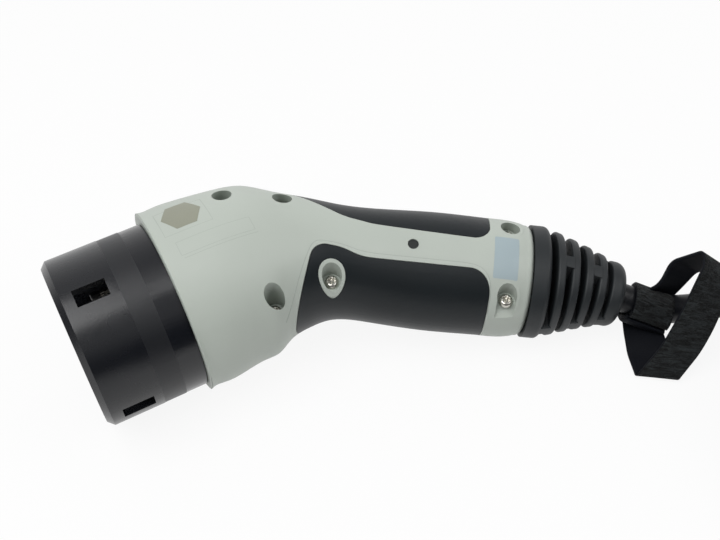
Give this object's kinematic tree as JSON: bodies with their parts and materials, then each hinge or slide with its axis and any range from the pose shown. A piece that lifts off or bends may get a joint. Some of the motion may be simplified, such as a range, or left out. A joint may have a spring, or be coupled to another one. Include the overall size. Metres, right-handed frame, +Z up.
{
  "type": "ev charging plug",
  "caption": "Charging plug with round pin shroud, bent two-shell handle with soft grips, slotted bend relief, cable with hook-and-loop strap, and a coiled lead to a plain vehicle connector.",
  "frame": {"origin": "centre of the shroud's open front edge, on the mating axis", "axes": "+X from the mating face towards the rear of the plug; +Z up from the floor that the plug lies on; the plug's own upright axis is rolled 13.9 degrees from +Y about X, so that the body and the boot's collar both touch the floor"},
  "size_m": [0.394, 0.3096, 0.074],
  "materials": {
    "black_shroud": "fine satin moulded plastic",
    "contact_silver": "silver-plated brass, turned",
    "pin_guard": "smooth",
    "steel": "zinc-plated",
    "seal_rubber": "smooth",
    "insulation": "smooth",
    "resistor": "lacquered",
    "pale_housing": "very fine texture, pale warm grey",
    "soft_grip": "soft-touch, matt",
    "insert": "matt",
    "clamp_plastic": "matt",
    "cable_sheath": "smooth, slightly shiny",
    "boot_rubber": "matt, finely textured",
    "strap_fabric": "looped pile outside, smooth inside",
    "connector_shell": "fine satin moulded plastic"
  },
  "bodies": {
    "root": {"shroud": "black_shroud", "contact_retainer": "black_shroud", "retainer_screws": "steel", "neck_seal": "seal_rubber", "pin_earth": "contact_silver", "pin_line_1": "contact_silver", "pin_neutral": "contact_silver", "pin_line_2": "contact_silver", "pin_line_3": "contact_silver", "pin_control_pilot": "contact_silver", "pin_proximity": "contact_silver", "pin_tips": "pin_guard", "conductor_earth": "insulation", "conductor_line_1": "insulation", "conductor_neutral": "insulation", "conductor_line_2": "insulation", "conductor_line_3": "insulation", "conductor_control_pilot": "insulation", "coding_resistor": "resistor", "near_shell": "pale_housing", "far_shell": "pale_housing", "near_lower_grip": "soft_grip", "near_upper_grip": "soft_grip", "far_lower_grip": "soft_grip", "far_upper_grip": "soft_grip", "shell_screws": "steel", "round_insert": "insert", "cable_clamp": "clamp_plastic", "clamp_screws": "steel", "cable_in_handle": "cable_sheath", "cable_boot": "boot_rubber", "cable_lead": "cable_sheath", "cable_strap": "strap_fabric", "cable_coil": "cable_sheath", "coil_tie": "strap_fabric", "cable_tail": "cable_sheath", "connector_boot": "boot_rubber", "connector_body": "connector_shell", "connector_nose": "black_shroud"}
  },
  "joints": []
}
